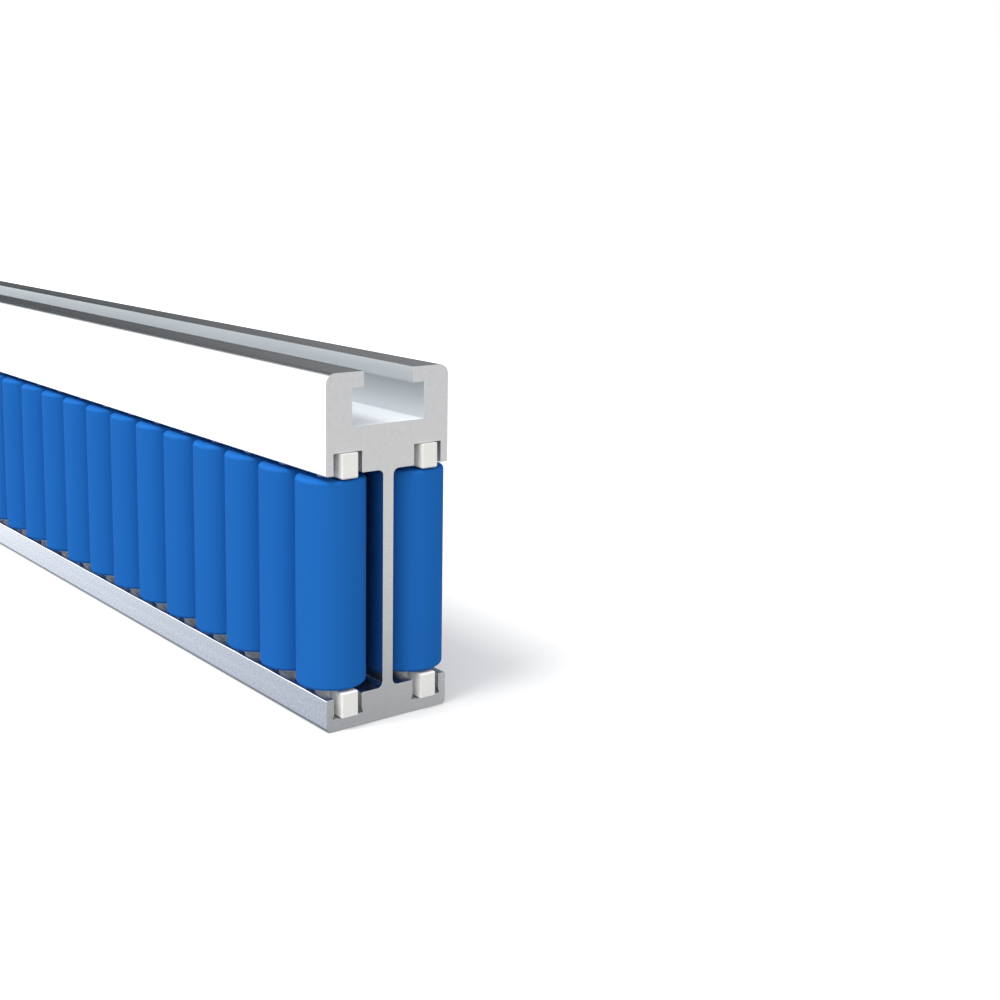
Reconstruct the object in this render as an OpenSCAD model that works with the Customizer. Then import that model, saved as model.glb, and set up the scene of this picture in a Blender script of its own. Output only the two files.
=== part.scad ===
// Flow rack roller track: an extruded I-profile with a T-slot in its head and a row of upright
// rollers along each side. The rollers spin on steel pins held in clip-in plastic carriers.
// Origin: bottom centre, at mid length. X runs across the track, Y along it, Z up.

/* [Track] */
// Number of rollers along each side, in pairs because one carrier holds two
roller_count = 20; // [4:2:24]
// Spacing of the roller axles along the track
roller_pitch = 20; // [16:0.5:26]
// How far the carriers stand out past each end of the profile
carrier_overhang = 1.15; // [0:0.05:3]

/* [Profile web] */
// Thickness of the upright web
web_t = 3.4; // [2:0.1:6]
// Fillet radius where the web meets the head and the base
web_fillet_r = 1.7; // [0.5:0.1:4]

/* [Profile head] */
// Width of the T-slot's opening
slot_w = 16; // [8:0.5:18]
// Thickness of the lips beside the T-slot's opening
slot_lip_t = 4.4; // [2:0.1:8]
// Inner width of the T-slot
slot_cavity_w = 23.5; // [20:0.5:28]
// Inner height of the T-slot, under its lips
slot_cavity_h = 10.4; // [6:0.2:16]
// Solid height from the T-slot's floor down to the underside of the head
slot_floor_t = 12.9; // [8:0.1:20]
// Radius of the head's two top corners
head_corner_r = 2.8; // [0.8:0.1:4]
// Depth of the carrier grooves in the underside of the head
head_groove_d = 6.05; // [4:0.05:6.8]

/* [Profile base] */
// Thickness of metal left under the carrier grooves in the base
base_floor_t = 3.5; // [2:0.05:8]
// Depth of the carrier grooves in the top of the base
base_groove_d = 5.8; // [4:0.05:7.1]
// Radius of the base's two bottom corners
base_corner_r = 1.4; // [0.2:0.1:1.8]

/* [Carrier grooves] */
// Width of each carrier groove
groove_w = 9.05; // [8:0.05:11]
// Thickness of the side lip outside each groove
side_lip_t = 2.375; // [1.5:0.025:5]
// Height of the clip undercut at the floor of each base groove
undercut_h = 0.85; // [0.4:0.05:1.5]
// Depth of the clip undercut into each wall of a base groove
undercut_d = 0.35; // [0.2:0.05:0.8]
// Radius on the tips of the side lips
lip_edge_r = 0.3; // [0.1:0.05:0.7]

/* [Carriers] */
// Thickness of a head carrier, from its back to its roller side
head_carrier_t = 7.05; // [6.2:0.05:10]
// Thickness of a base carrier, which has a clip rim at its back
base_carrier_t = 7.35; // [6.2:0.05:10]
// Width of the bar that joins a carrier's two seats
bar_w = 5.3; // [3.5:0.1:7]
// Gap behind the bar of a head carrier, so that only its round seats bear on the groove
head_bar_gap = 0.15; // [0.05:0.05:1]
// Gap behind the bar of a base carrier
base_bar_gap = 0.3; // [0.05:0.05:1.5]
// Corner radius at the ends of the bar
bar_corner_r = 0.45; // [0.2:0.05:1.5]
// Chamfer round the roller side of a carrier
carrier_chamfer = 0.4; // [0.1:0.05:0.6]
// Diameter of the thrust boss that a roller runs against
boss_d = 7.8; // [5.5:0.1:7.9]
// Height of the thrust boss
boss_h = 0.45; // [0.2:0.05:1.5]
// Gap between carriers that follow one another in a groove
carrier_gap = 0.1; // [0.05:0.05:1]
// Clearance between a carrier's round seats and the groove walls
groove_fit = 0.1; // [0.05:0.01:0.3]

/* [Pins] */
// Diameter of a steel pin
pin_d = 4; // [3:0.1:4.5]
// Depth of the blind hole that seats a pin in its carrier
pin_seat_d = 5.6; // [3:0.1:5.9]
// Chamfer on the ends of a pin
pin_chamfer = 0.3; // [0.1:0.05:0.6]
// Radial clearance of a pin in its carrier, a light press fit
pin_fit = 0.02; // [0.01:0.01:0.05]
// Gap between each end of a pin and the end of its hole
pin_end_gap = 0.1; // [0.05:0.05:0.3]

/* [Rollers] */
// Length of a roller
roller_len = 58.4; // [30:0.2:120]
// Gap between neighbouring rollers in a row
roller_gap = 0.6; // [0.3:0.05:3]
// Gap between the rollers and the web
web_gap = 1.7; // [0.4:0.1:4]
// Rounding of a roller's rims
rim_r = 1.1; // [0.3:0.1:1.5]
// Chamfer at each end of a roller's bore
bore_chamfer = 0.4; // [0.1:0.05:1]
// Radial running clearance of a roller on its pin
running_fit = 0.05; // [0.02:0.01:0.1]
// Clearance between a roller and the thrust boss at each end
end_play = 0.075; // [0.05:0.005:0.3]

/* [Hidden] */
$fn = 96;

// A cut starts this far outside the face it opens
cut = 1;

AXLES_PER_CARRIER = 2;
SIDES = ["left", "right"];

function side_sign(side) = side == "left" ? -1 : 1;
function roller_name(side, i) = str("roller_", side, i < 10 ? "_0" : "_", i);

// Plan sizes
roller_r = (roller_pitch - roller_gap) / 2;
axle_x = web_t / 2 + web_gap + roller_r;
rail_w = 2 * (axle_x + groove_w / 2 + side_lip_t);
carrier_len = AXLES_PER_CARRIER * roller_pitch - carrier_gap;
carrier_count = roller_count / AXLES_PER_CARRIER;
carrier_row_len = carrier_count * (carrier_len + carrier_gap) - carrier_gap;
rail_len = carrier_row_len - 2 * carrier_overhang;

// Heights, from the bottom of the base upwards
base_h = base_floor_t + base_groove_d;
base_boss_z = base_floor_t + base_carrier_t + boss_h;
roller_z = base_boss_z + end_play;
head_boss_z = roller_z + roller_len + end_play;
head_groove_z = head_boss_z + boss_h + head_carrier_t;
head_z = head_groove_z - head_groove_d;
slot_floor_z = head_z + slot_floor_t;
rail_h = slot_floor_z + slot_cavity_h + slot_lip_t;

// Fits
seat_d = groove_w - 2 * groove_fit;
clip_d = groove_w + 2 * (undercut_d - groove_fit);
clip_h = undercut_h - groove_fit;
pin_z = base_boss_z - pin_seat_d + pin_end_gap;
pin_len = head_boss_z + pin_seat_d - pin_end_gap - pin_z;
bore_r = pin_d / 2 + running_fit;

// Centre of a row's axle number i, counted from the front end
function axle_y(i) = (i - (roller_count + 1) / 2) * roller_pitch;

// Centre of carrier number i, counted from the front end
function carrier_y(i) = (i - (carrier_count + 1) / 2) * (carrier_len + carrier_gap);

module both_sides() {
    children();
    mirror([1, 0]) children();
}

// The sliver between a square corner at the origin and the quarter round inside it.
// Cut from an outer corner it rounds the corner; left in an inner corner it is a fillet.
module corner_sliver(r) {
    difference() {
        square(r);
        translate([r, r]) circle(r);
    }
}

// Space beside the web, open to the right, where a row of rollers stands
module roller_channel() {
    channel_h = head_z - base_h;
    translate([web_t / 2, base_h])
    difference() {
        square([rail_w, channel_h]);
        corner_sliver(web_fillet_r);
        translate([0, channel_h]) mirror([0, 1]) corner_sliver(web_fillet_r);
    }
}

// Carrier groove that opens upwards from its floor at the origin
module carrier_groove(depth) {
    translate([-groove_w / 2, 0]) square([groove_w, depth + cut]);
}

// Undercut at the floor of a base groove, which the carriers clip into
module clip_undercut() {
    translate([-groove_w / 2 - undercut_d, 0]) square([groove_w + 2 * undercut_d, undercut_h]);
}

module t_slot() {
    translate([-slot_cavity_w / 2, slot_floor_z]) square([slot_cavity_w, slot_cavity_h]);
    translate([-slot_w / 2, slot_floor_z]) square([slot_w, slot_cavity_h + slot_lip_t + cut]);
}

// The outer corners that one side of the profile has: head top, lip tips and base bottom
module outer_corners() {
    translate([rail_w / 2, rail_h]) rotate(180) corner_sliver(head_corner_r);
    translate([rail_w / 2, head_z]) mirror([1, 0]) corner_sliver(lip_edge_r);
    translate([rail_w / 2, base_h]) rotate(180) corner_sliver(lip_edge_r);
    translate([rail_w / 2, 0]) mirror([1, 0]) corner_sliver(base_corner_r);
}

module profile_section() {
    difference() {
        translate([-rail_w / 2, 0]) square([rail_w, rail_h]);
        t_slot();
        both_sides() {
            roller_channel();
            translate([axle_x, base_floor_t]) {
                carrier_groove(base_groove_d);
                clip_undercut();
            }
            translate([axle_x, head_groove_z]) mirror([0, 1]) carrier_groove(head_groove_d);
            outer_corners();
        }
    }
}

module profile() {
    color("silver")
    rotate([90, 0, 0])
    linear_extrude(rail_len, center = true)
    profile_section();
}

// Rectangle centred on the origin with rounded corners
module rounded_rectangle(w, l, r) {
    square([w - 2 * r, l], center = true);
    square([w, l - 2 * r], center = true);
    for (x = [-1, 1], y = [-1, 1]) translate([x * (w / 2 - r), y * (l / 2 - r)]) circle(r);
}

// Upright section of a block that stands on the origin, with its two top corners chamfered
module chamfered_section(w, h, c) {
    polygon([[-w / 2, 0], [w / 2, 0], [w / 2, h - c], [w / 2 - c, h], [c - w / 2, h], [-w / 2, h - c]]);
}

// Bar of a carrier, from z = gap up to z = t: rounded in plan and chamfered along its top edges
module carrier_bar(t, gap) {
    intersection() {
        translate([0, 0, gap])
        linear_extrude(t - gap)
        rounded_rectangle(bar_w, carrier_len, bar_corner_r);
        rotate([90, 0, 0])
        linear_extrude(carrier_len, center = true)
        chamfered_section(bar_w, t, carrier_chamfer);
        rotate([90, 0, 90])
        linear_extrude(bar_w, center = true)
        chamfered_section(carrier_len, t, carrier_chamfer);
    }
}

// Round seat of a carrier of thickness t, with the thrust boss on its roller side
module carrier_seat(t) {
    cylinder(d = seat_d, h = t - carrier_chamfer);
    translate([0, 0, t - carrier_chamfer])
    cylinder(d1 = seat_d, d2 = seat_d - 2 * carrier_chamfer, h = carrier_chamfer);
    cylinder(d = boss_d, h = t + boss_h);
}

// One carrier with its back at z = 0 and its bosses up. A base carrier has clip rims at its back.
module carrier(level) {
    base = level == "base";
    t = base ? base_carrier_t : head_carrier_t;
    seats_y = [for (i = [1 : AXLES_PER_CARRIER]) (i - (AXLES_PER_CARRIER + 1) / 2) * roller_pitch];
    difference() {
        union() {
            carrier_bar(t, base ? base_bar_gap : head_bar_gap);
            for (y = seats_y) translate([0, y, 0]) carrier_seat(t);
            if (base) for (y = seats_y) translate([0, y, 0]) cylinder(d = clip_d, h = clip_h);
        }
        for (y = seats_y) {
            translate([0, y, t + boss_h - pin_seat_d])
            cylinder(d = pin_d + 2 * pin_fit, h = pin_seat_d + cut);
        }
    }
}

// The carriers in one groove, end to end
module carriers(level, side) {
    color("ivory")
    for (i = [1 : carrier_count]) {
        translate([side_sign(side) * axle_x, carrier_y(i), level == "base" ? base_floor_t : head_groove_z])
        mirror([0, 0, level == "base" ? 0 : 1])
        carrier(level);
    }
}

// One pin, standing on z = 0, with chamfered ends
module pin() {
    r = pin_d / 2;
    c = pin_chamfer;
    rotate_extrude()
    polygon([[0, 0], [r - c, 0], [r, c], [r, pin_len - c], [r - c, pin_len], [0, pin_len]]);
}

module axles(side) {
    color("gainsboro")
    for (i = [1 : roller_count]) {
        translate([side_sign(side) * axle_x, axle_y(i), pin_z]) pin();
    }
}

// Half section of a roller: bore with chamfered ends, and rounded rims
module roller_half_section() {
    difference() {
        translate([bore_r, 0]) square([roller_r - bore_r, roller_len]);
        translate([roller_r, 0]) mirror([1, 0]) corner_sliver(rim_r);
        translate([roller_r, roller_len]) rotate(180) corner_sliver(rim_r);
        bore_mouth();
        translate([0, roller_len]) mirror([0, 1]) bore_mouth();
    }
}

// The chamfer cut at one end of the bore
module bore_mouth() {
    polygon([[0, -cut], [bore_r + bore_chamfer + cut, -cut], [0, bore_r + bore_chamfer]]);
}

module roller_body() {
    rotate_extrude() roller_half_section();
}

module roller(side, i) {
    color("royalblue")
    translate([side_sign(side) * axle_x, axle_y(i), roller_z])
    roller_body();
}

profile();
for (level = ["head", "base"], side = SIDES) {
    carriers(level, side);
}
for (side = SIDES) {
    axles(side);
}
for (side = SIDES, i = [1 : roller_count]) {
    roller(side, i);
}
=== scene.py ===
import math

import bmesh
import bpy
from mathutils import Euler, Matrix, Vector


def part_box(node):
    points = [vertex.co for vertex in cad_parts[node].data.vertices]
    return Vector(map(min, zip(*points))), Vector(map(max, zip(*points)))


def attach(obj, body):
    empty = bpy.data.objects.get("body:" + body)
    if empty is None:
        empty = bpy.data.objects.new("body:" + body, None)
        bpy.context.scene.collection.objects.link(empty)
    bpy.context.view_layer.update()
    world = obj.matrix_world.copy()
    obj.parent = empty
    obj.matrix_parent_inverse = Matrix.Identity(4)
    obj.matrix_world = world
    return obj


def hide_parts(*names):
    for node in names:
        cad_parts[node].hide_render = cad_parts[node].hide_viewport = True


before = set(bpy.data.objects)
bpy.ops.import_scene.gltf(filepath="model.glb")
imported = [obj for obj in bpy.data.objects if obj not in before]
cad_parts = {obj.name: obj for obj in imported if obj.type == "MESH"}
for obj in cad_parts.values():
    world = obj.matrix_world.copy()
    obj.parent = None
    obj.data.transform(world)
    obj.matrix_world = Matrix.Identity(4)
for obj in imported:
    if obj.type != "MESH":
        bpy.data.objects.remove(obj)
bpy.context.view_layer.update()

# ---------------------------------------------------------------------------------------------
# Profile. One aluminium extrusion, anodised and sawn to length: a head with a T-slot, a web and
# a base, with a carrier groove on each side of the web above and below.
# ---------------------------------------------------------------------------------------------
mm = 0.001
merge_gap = 0.001 * mm
profile_low, profile_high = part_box("profile")
rail_half_w = profile_high.x
rail_h = profile_high.z
rail_len = profile_high.y - profile_low.y
web_half_t = 1.7 * mm
slot_half_w = 8 * mm
slot_lip_t = 4.4 * mm
cavity_half_w = 11.75 * mm
cavity_h = 10.4 * mm
head_z = 71.3 * mm
head_groove_d = 6.05 * mm
base_h = 9.3 * mm
base_groove_d = 5.8 * mm
axle_x = 13.1 * mm
groove_half_w = 4.525 * mm
undercut_d = 0.35 * mm
undercut_h = 0.85 * mm
head_corner_r = 2.8 * mm
web_fillet_r = 1.7 * mm
base_corner_r = 1.4 * mm
lip_edge_r = 0.3 * mm
mouth_edge_r = 0.2 * mm
deburr = 0.08 * mm
corner_steps = 8
crisp_edge = math.radians(32)

groove_near = axle_x - groove_half_w
groove_far = axle_x + groove_half_w
base_groove_z = base_h - base_groove_d
clip_z = base_groove_z + undercut_h
slot_lip_z = rail_h - slot_lip_t
slot_floor_z = slot_lip_z - cavity_h


def finish_mesh(bm, name, materials):
    """The bmesh as a piece with smooth curves, flat flats and crisp edges."""
    mesh = bpy.data.meshes.new(name)
    for face in bm.faces:
        face.smooth = True
    bm.to_mesh(mesh)
    bm.free()
    mesh.set_sharp_from_angle(angle=crisp_edge)
    for material in materials:
        mesh.materials.append(material)
    piece = bpy.data.objects.new(name, mesh)
    bpy.context.scene.collection.objects.link(piece)
    flats = piece.modifiers.new("flat faces stay flat", "WEIGHTED_NORMAL")
    flats.keep_sharp = True
    return piece


# Numbers of a Mix node's colour sockets: the two that go in and the one that comes out
mix_first, mix_second, mix_result = 6, 7, 2


class Finish:
    """A node material with one Principled shader, and the nodes that vary it over the surface."""

    # Most of a noise lies between these values
    noise_low = 0.3
    noise_high = 0.7

    def __init__(self, name, colour, metallic, roughness):
        self.material = bpy.data.materials.new(name)
        self.material.use_nodes = True
        self.nodes = self.material.node_tree.nodes
        self.links = self.material.node_tree.links
        self.shader = self.nodes["Principled BSDF"]
        self.shader.inputs["Base Color"].default_value = (*colour, 1)
        self.shader.inputs["Metallic"].default_value = metallic
        self.shader.inputs["Roughness"].default_value = roughness
        self.place = self.nodes.new("ShaderNodeTexCoord").outputs["Object"]

    def noise(self, stretch, scale, detail):
        """Noise on the piece's own coordinates, long along the axes that stretch makes small."""
        mapping = self.nodes.new("ShaderNodeMapping")
        mapping.inputs["Scale"].default_value = stretch
        self.links.new(self.place, mapping.inputs["Vector"])
        texture = self.nodes.new("ShaderNodeTexNoise")
        texture.inputs["Scale"].default_value = scale
        texture.inputs["Detail"].default_value = detail
        self.links.new(mapping.outputs["Vector"], texture.inputs["Vector"])
        return texture.outputs["Fac"]

    def spread(self, source, low, high):
        """The source noise, mapped to run from low to high."""
        node = self.nodes.new("ShaderNodeMapRange")
        node.inputs["From Min"].default_value = self.noise_low
        node.inputs["From Max"].default_value = self.noise_high
        node.inputs["To Min"].default_value = low
        node.inputs["To Max"].default_value = high
        self.links.new(source, node.inputs["Value"])
        return node.outputs["Result"]

    def tint(self, source, dark, light):
        """Base colour that runs from dark to light with the source."""
        node = self.nodes.new("ShaderNodeMix")
        node.data_type = "RGBA"
        node.inputs[mix_first].default_value = (*dark, 1)
        node.inputs[mix_second].default_value = (*light, 1)
        self.links.new(self.spread(source, 0, 1), node.inputs["Factor"])
        self.links.new(node.outputs[mix_result], self.shader.inputs["Base Color"])

    def rough(self, source, low, high):
        """Roughness that runs from low to high with the source."""
        self.links.new(self.spread(source, low, high), self.shader.inputs["Roughness"])

    def bump(self, source, height):
        """Relief of the given height in metres, on top of any relief set before."""
        node = self.nodes.new("ShaderNodeBump")
        node.inputs["Distance"].default_value = height
        self.links.new(source, node.inputs["Height"])
        if self.shader.inputs["Normal"].links:
            relief = self.shader.inputs["Normal"].links[0].from_socket
            self.links.new(relief, node.inputs["Normal"])
        self.links.new(node.outputs["Normal"], self.shader.inputs["Normal"])


all_ways = (1, 1, 1)

# Extruded skin: fine die lines along the rail under a slightly grainy satin anodising.
anodised = Finish("anodised_skin", (0.85, 0.86, 0.88), metallic=1.0, roughness=0.22)
die_lines = anodised.noise((1, 0.004, 1), scale=900, detail=4)
grain = anodised.noise(all_ways, scale=1300, detail=2)
anodised.tint(grain, dark=(0.765, 0.775, 0.795), light=(0.935, 0.945, 0.965))
anodised.rough(die_lines, low=0.20, high=0.27)
anodised.bump(die_lines, height=0.002 * mm)
anodised.bump(grain, height=0.004 * mm)


def slot_skin(name, colour, metallic):
    """Duller skin inside the slot, where the die isn't polished: coarse lines and some grain, on a
    colour darkened as painted shade.
    """
    skin = Finish(name, colour, metallic, roughness=0.45)
    lines = skin.noise((1, 0.01, 1), scale=900, detail=4)
    contrast = 0.01
    darker = tuple(part - contrast for part in colour)
    lighter = tuple(part + contrast for part in colour)
    skin.tint(lines, darker, lighter)
    skin.rough(lines, low=0.42, high=0.48)
    skin.bump(lines, height=0.001 * mm)
    skin.bump(skin.noise(all_ways, scale=2200, detail=2), height=0.002 * mm)
    return skin.material


# Painted shade: the slot's floor is coloured darker than the skin outside, and its walls darker
# still.
slot_floor_painted_shade = slot_skin("slot_floor_painted_shade", (0.76, 0.79, 0.82), metallic=0.2)
slot_wall_painted_shade = slot_skin("slot_wall_painted_shade", (0.70, 0.73, 0.75), metallic=0.8)

# Sawn ends: bare metal with the faint parallel marks of a fine saw.
sawn = Finish("sawn_end", (0.85, 0.85, 0.86), metallic=1.0, roughness=0.26)
saw_marks = sawn.noise((0.03, 1, 1), scale=1500, detail=3)
mottle = sawn.noise(all_ways, scale=700, detail=3)
sawn.tint(mottle, dark=(0.83, 0.83, 0.84), light=(0.87, 0.87, 0.88))
sawn.rough(saw_marks, low=0.245, high=0.275)
sawn.bump(saw_marks, height=0.0007 * mm)

# Right half of the section, in x and z, from the middle of the underside round to the slot.
outline = [
    (0, 0),
    (rail_half_w, 0),
    (rail_half_w, base_h),
    (groove_far, base_h),
    (groove_far, clip_z),
    (groove_far + undercut_d, clip_z),
    (groove_far + undercut_d, base_groove_z),
    (groove_near - undercut_d, base_groove_z),
    (groove_near - undercut_d, clip_z),
    (groove_near, clip_z),
    (groove_near, base_h),
    (web_half_t, base_h),
    (web_half_t, head_z),
    (groove_near, head_z),
    (groove_near, head_z + head_groove_d),
    (groove_far, head_z + head_groove_d),
    (groove_far, head_z),
    (rail_half_w, head_z),
    (rail_half_w, rail_h),
    (slot_half_w, rail_h),
    (slot_half_w, slot_lip_z),
    (cavity_half_w, slot_lip_z),
    (cavity_half_w, slot_floor_z),
    (0, slot_floor_z),
]
rounded = {
    (rail_half_w, 0): base_corner_r,
    (rail_half_w, base_h): lip_edge_r,
    (groove_near, base_h): mouth_edge_r,
    (web_half_t, base_h): web_fillet_r,
    (web_half_t, head_z): web_fillet_r,
    (groove_near, head_z): mouth_edge_r,
    (rail_half_w, head_z): lip_edge_r,
    (rail_half_w, rail_h): head_corner_r,
}

bm = bmesh.new()
corners = {(x, z): bm.verts.new((x, profile_low.y, z)) for x, z in outline}
bm.faces.new([corners[point] for point in outline])
for point, radius in rounded.items():
    bmesh.ops.bevel(
        bm,
        geom=[corners[point]],
        offset=radius,
        offset_type="OFFSET",
        segments=corner_steps,
        profile=0.5,
        affect="VERTICES",
        material=-1,
    )
half = bm.verts[:] + bm.edges[:] + bm.faces[:]
bmesh.ops.mirror(bm, geom=half, axis="X", merge_dist=merge_gap)
bmesh.ops.recalc_face_normals(bm, faces=bm.faces[:])
seam = [edge for edge in bm.edges if all(abs(v.co.x) < merge_gap for v in edge.verts)]
bmesh.ops.dissolve_edges(bm, edges=seam, use_verts=True)
extruded = bmesh.ops.extrude_face_region(bm, geom=bm.faces[:])["geom"]
far_end = [made for made in extruded if isinstance(made, bmesh.types.BMVert)]
bmesh.ops.translate(bm, verts=far_end, vec=(0, rail_len, 0))
bmesh.ops.recalc_face_normals(bm, faces=bm.faces[:])
square_to_axis = 0.9
caps = [face for face in bm.faces if abs(face.normal.y) > square_to_axis]
sawn_edges = {edge for face in caps for edge in face.edges}
bmesh.ops.bevel(
    bm,
    geom=list(sawn_edges),
    offset=deburr,
    offset_type="OFFSET",
    segments=1,
    profile=0.5,
    affect="EDGES",
    material=-1,
)
skins = [anodised.material, sawn.material, slot_floor_painted_shade, slot_wall_painted_shade]
deburr_tilt = 0.3
slot_margin = 0.01 * mm
for face in bm.faces:
    middle = face.calc_center_median()
    skin = anodised.material
    if abs(face.normal.y) > deburr_tilt:
        skin = sawn.material
    # Faces inside the slot take the skins with painted shade, and the walls get the darker one.
    elif middle.z > slot_floor_z - slot_margin and abs(middle.x) < cavity_half_w + slot_margin:
        skin = slot_floor_painted_shade if face.normal.z > square_to_axis else slot_wall_painted_shade
    face.material_index = skins.index(skin)
profile = finish_mesh(bm, "extruded_profile", skins)
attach(profile, "track")
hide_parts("profile")

# ---------------------------------------------------------------------------------------------
# Rollers. Each is turned from blue acetal rod, with rounded rims and a bore chamfered at both
# ends, and spins on its pin between the thrust bosses of two carriers.
# ---------------------------------------------------------------------------------------------
rim_r = 1.1 * mm
bore_r = 2.05 * mm
bore_chamfer = 0.4 * mm
roller_sides = 72
rim_steps = 6

blue = Finish("blue_acetal", (0.0145, 0.131, 0.455), metallic=0.0, roughness=0.5)
blue.shader.inputs["Specular IOR Level"].default_value = 0.004
tool_marks = blue.noise((0.02, 0.02, 1), scale=900, detail=3)
clouds = blue.noise((1, 1, 0.3), scale=60, detail=3)
blue.tint(clouds, dark=(0.0141, 0.129, 0.449), light=(0.0149, 0.133, 0.461))
blue.rough(tool_marks, low=0.46, high=0.54)
blue.bump(tool_marks, height=0.001 * mm)
blue.bump(blue.noise(all_ways, scale=1800, detail=2), height=0.002 * mm)


def rim(radius, z, side):
    """Points of a rounded rim, side wall to end face at z. Side is 1 for the top, -1 for the foot."""
    for step in range(rim_steps + 1):
        turn = math.pi / 2 * step / rim_steps
        out = radius - rim_r + rim_r * math.cos(turn)
        yield out, z - side * rim_r * (1 - math.sin(turn))


def lathe(bm, section, centre):
    """Turns a closed half section of (radius, height) points into a ring about a centre line."""
    verts = [bm.verts.new((centre.x + radius, centre.y, z)) for radius, z in section]
    edges = [bm.edges.new(pair) for pair in zip(verts, verts[1:] + verts[:1])]
    bmesh.ops.spin(
        bm,
        geom=verts + edges,
        cent=(centre.x, centre.y, 0),
        axis=(0, 0, 1),
        angle=2 * math.pi,
        steps=roller_sides,
        use_merge=True,
    )
    bmesh.ops.recalc_face_normals(bm, faces=bm.faces[:])


for name in sorted(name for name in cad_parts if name.startswith("roller_")):
    low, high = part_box(name)
    radius = (high.x - low.x) / 2
    section = [(bore_r, low.z + bore_chamfer), (bore_r + bore_chamfer, low.z)]
    section += reversed(list(rim(radius, low.z, side=-1)))
    section += rim(radius, high.z, side=1)
    section += [(bore_r + bore_chamfer, high.z), (bore_r, high.z - bore_chamfer)]
    bm = bmesh.new()
    lathe(bm, section, centre=(low + high) / 2)
    roller = finish_mesh(bm, "blue_" + name, [blue.material])
    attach(roller, name + "_body")
    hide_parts(name)

# ---------------------------------------------------------------------------------------------
# Carriers and pins. Off-white polyamide mouldings sit in the grooves, clipped in at the base,
# and hold the ground stainless steel pins of two rollers each. The frame's own shapes are kept.
# ---------------------------------------------------------------------------------------------
ivory = Finish("offwhite_polyamide", (0.85, 0.845, 0.815), metallic=0.0, roughness=0.4)
ivory.shader.inputs["Specular IOR Level"].default_value = 0.2
ivory.bump(ivory.noise(all_ways, scale=1500, detail=2), height=0.003 * mm)
shade = ivory.noise(all_ways, scale=90, detail=2)
ivory.tint(shade, dark=(0.835, 0.83, 0.80), light=(0.865, 0.86, 0.83))

steel = Finish("ground_steel", (0.55, 0.55, 0.56), metallic=1.0, roughness=0.3)
steel.rough(steel.noise((1, 1, 0.02), scale=1500, detail=2), low=0.22, high=0.34)

for side in ("left", "right"):
    for level in ("head", "base"):
        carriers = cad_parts[f"carriers_{level}_{side}"]
        carriers.material_slots[0].material = ivory.material
    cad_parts[f"axles_{side}"].material_slots[0].material = steel.material

# ---------------------------------------------------------------------------------------------
# Floor. A sheet of white paper that the rail stands on. It glows a little more with distance, so
# that it melts into the white behind, and it throws only part of its light back on the rail.
# ---------------------------------------------------------------------------------------------
scene = bpy.context.scene
scene.view_settings.view_transform = "Standard"

floor_half = 4.0
floor_drop = 0.05 * mm
bounced_white = 0.42
seen_white = 0.66
fade_start = 0.3
fade_end = 1.0
glow_near = 0.1
glow_far = 0.7

bm = bmesh.new()
bmesh.ops.create_grid(bm, x_segments=1, y_segments=1, size=floor_half)
floor_mesh = bpy.data.meshes.new("floor")
bm.to_mesh(floor_mesh)
bm.free()
floor = bpy.data.objects.new("floor", floor_mesh)
floor.location.z = -floor_drop
scene.collection.objects.link(floor)
floor.visible_glossy = False

paper = bpy.data.materials.new("white_floor")
paper.use_nodes = True
floor_mesh.materials.append(paper)
nodes, links = paper.node_tree.nodes, paper.node_tree.links
nodes.clear()


def ramp(source, start, end, low=0, high=1):
    """A value in the tree being built, mapped so that start gives low and end gives high."""
    node = nodes.new("ShaderNodeMapRange")
    node.inputs["From Min"].default_value = start
    node.inputs["From Max"].default_value = end
    node.inputs["To Min"].default_value = low
    node.inputs["To Max"].default_value = high
    links.new(source, node.inputs["Value"])
    return node.outputs["Result"]


def combine(operation, first, second):
    """Two values of the tree being built, made one by a maths operation."""
    node = nodes.new("ShaderNodeMath")
    node.operation = operation
    links.new(first, node.inputs[0])
    links.new(second, node.inputs[1])
    return node.outputs["Value"]


camera_ray = nodes.new("ShaderNodeLightPath").outputs["Is Camera Ray"]
place = nodes.new("ShaderNodeTexCoord").outputs["Object"]
distance = nodes.new("ShaderNodeVectorMath")
distance.operation = "LENGTH"
links.new(place, distance.inputs[0])
glow_strength = ramp(distance.outputs["Value"], fade_start, fade_end, glow_near, glow_far)
diffuse = nodes.new("ShaderNodeBsdfDiffuse")
links.new(ramp(camera_ray, 0, 1, bounced_white, seen_white), diffuse.inputs["Color"])
glow = nodes.new("ShaderNodeEmission")
links.new(combine("MULTIPLY", glow_strength, camera_ray), glow.inputs["Strength"])
both = nodes.new("ShaderNodeAddShader")
links.new(diffuse.outputs["BSDF"], both.inputs[0])
links.new(glow.outputs["Emission"], both.inputs[1])
out = nodes.new("ShaderNodeOutputMaterial")
links.new(both.outputs["Shader"], out.inputs["Surface"])

# ---------------------------------------------------------------------------------------------
# Studio surround. The camera sees plain white. Reflections see a bright left wall, a darker far
# right corner and a ground that dims towards the object. Diffuse light is strongest from the
# left, then from above, and low down it comes mainly from the front.
# ---------------------------------------------------------------------------------------------
world = bpy.data.worlds.new("studio")
scene.world = world
world.use_nodes = True
nodes, links = world.node_tree.nodes, world.node_tree.links
nodes.clear()
split = nodes.new("ShaderNodeSeparateXYZ")
links.new(nodes.new("ShaderNodeTexCoord").outputs["Generated"], split.inputs[0])
x, y, z = split.outputs


def soft_step(source, start, end):
    """Soft step of a direction component, from 0 at start to 1 at end."""
    result = ramp(source, start, end)
    result.node.interpolation_type = "SMOOTHSTEP"
    return result


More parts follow.
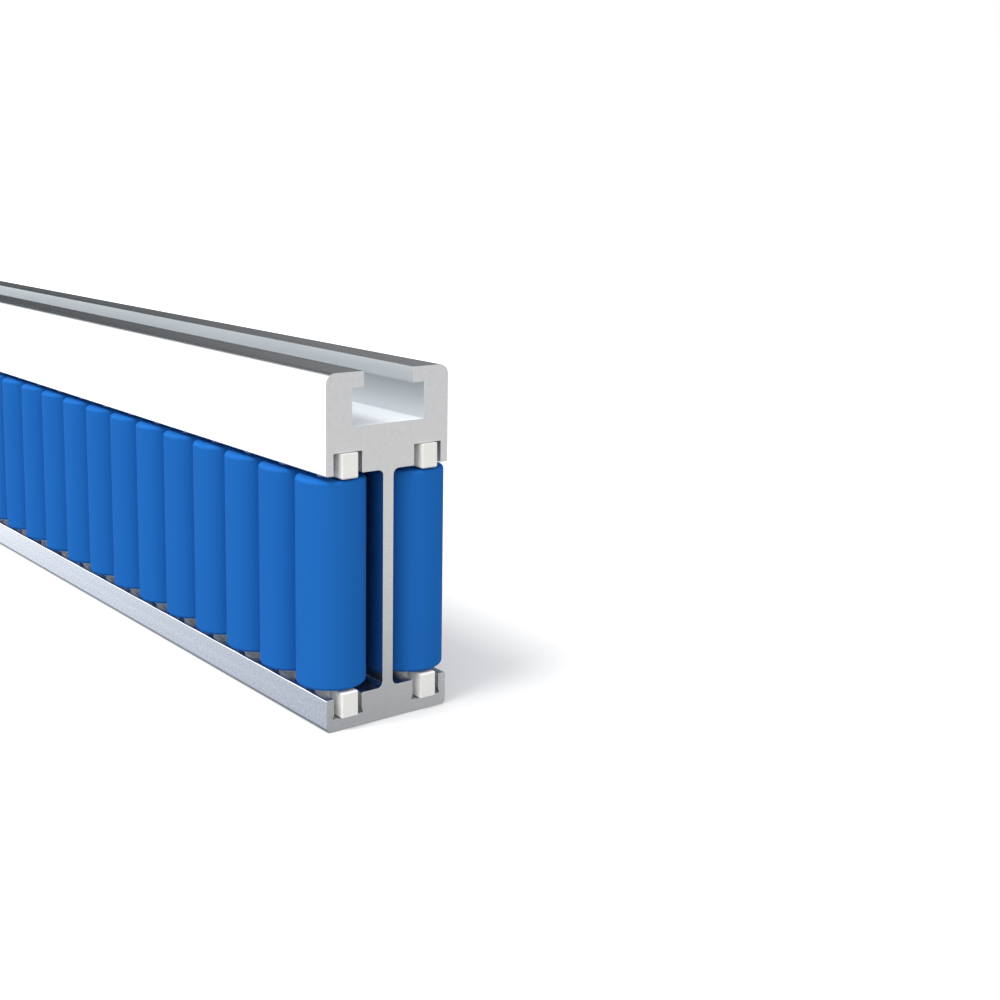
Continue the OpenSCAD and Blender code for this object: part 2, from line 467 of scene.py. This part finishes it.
def blend(weight, first, second):
    """Colour between first and second, each a colour, a grey or a socket."""
    node = nodes.new("ShaderNodeMix")
    node.data_type = "RGBA"
    links.new(weight, node.inputs["Factor"])
    for number, value in ((mix_first, first), (mix_second, second)):
        socket = node.inputs[number]
        if isinstance(value, tuple):
            socket.default_value = (*value, 1)
        elif isinstance(value, float):
            socket.default_value = (value, value, value, 1)
        else:
            links.new(value, socket)
    return node.outputs[mix_result]


# Reflected surround. Each step runs over a component of the direction: x to the right, y along
# the rail and z up.
leftness = soft_step(x, 0.1, -0.2)
foot = blend(soft_step(z, -0.62, -0.47), (0.13, 0.14, 0.14), (0.38, 0.42, 0.50))
low_left = blend(soft_step(z, -0.42, -0.24), foot, (0.70, 0.76, 0.86))
left_card = blend(soft_step(y, -0.4, 0.0), 0.8, 1.8)
left_ground = blend(soft_step(z, -0.24, -0.17), low_left, left_card)
bright_right = blend(soft_step(z, -0.28, -0.16), (0.90, 0.89, 0.86), (0.65, 0.655, 0.665))
right_ground = blend(soft_step(z, -0.36, -0.30), (0.16, 0.18, 0.21), bright_right)
ground = blend(leftness, right_ground, left_ground)
wall = blend(leftness, (0.70, 0.70, 0.71), left_card)
far_right = combine("MULTIPLY", soft_step(x, -0.1, 0.15), soft_step(y, 0.2, 0.5))
dark_corner = combine("MULTIPLY", far_right, soft_step(z, 0.75, 0.5))
dark = blend(soft_step(x, 0.3, 0.7), (0.045, 0.052, 0.057), (0.24, 0.245, 0.25))
around = blend(dark_corner, wall, dark)
reflected = blend(soft_step(z, -0.12, 0.0), ground, around)

# Diffuse surround, over the same components
sides = blend(soft_step(x, 1.0, -1.0), 0.88, 1.75)
low_front = blend(soft_step(y, -0.3, -0.8), 0.08, 0.85)
lower = blend(soft_step(z, 0.2, 0.48), low_front, sides)
diffused = blend(soft_step(z, 0.55, 0.95), lower, 1.25)

ray = nodes.new("ShaderNodeLightPath").outputs
lit = blend(ray["Is Glossy Ray"], diffused, reflected)
direct = combine("MAXIMUM", ray["Is Camera Ray"], ray["Is Transmission Ray"])
background = nodes.new("ShaderNodeBackground")
links.new(blend(direct, lit, 1.0), background.inputs["Color"])
out = nodes.new("ShaderNodeOutputWorld")
links.new(background.outputs["Background"], out.inputs["Surface"])

# ---------------------------------------------------------------------------------------------
# Key light. A broad light from the upper left, square to the rail, that throws the soft shadow
# on the right. It isn't seen in reflections.
# ---------------------------------------------------------------------------------------------
key_strength = 2.1
key_spread = math.radians(24)
key_lean = math.radians(30)
key_data = bpy.data.lights.new("key", "SUN")
key_data.energy = key_strength
key_data.angle = key_spread
key = bpy.data.objects.new("key", key_data)
key.rotation_euler = Euler((0, -key_lean, 0))
key.visible_glossy = False
scene.collection.objects.link(key)

# ---------------------------------------------------------------------------------------------
# Camera. It stands to the left of the near end, a little above the head, and looks along the
# left side of the rail. Its stand is in mm from the middle of the near end, at the floor.
# ---------------------------------------------------------------------------------------------
near_end = Vector((0, profile_low.y, 0))
stand = Vector((-220.53, -322.70, 152.23))
heading = math.radians(38.77)
tilt = math.radians(-8.94)
roll = math.radians(0.93)
camera_data = bpy.data.cameras.new("camera")
camera_data.lens = 52.35
camera_data.sensor_width = 36
camera_data.shift_y = -0.10
camera = bpy.data.objects.new("camera", camera_data)
scene.collection.objects.link(camera)
scene.camera = camera
camera.location = near_end + stand * mm
aim = Matrix.Rotation(-heading, 3, "Z") @ Matrix.Rotation(math.pi / 2 + tilt, 3, "X")
camera.rotation_euler = (aim @ Matrix.Rotation(roll, 3, "Z")).to_euler()
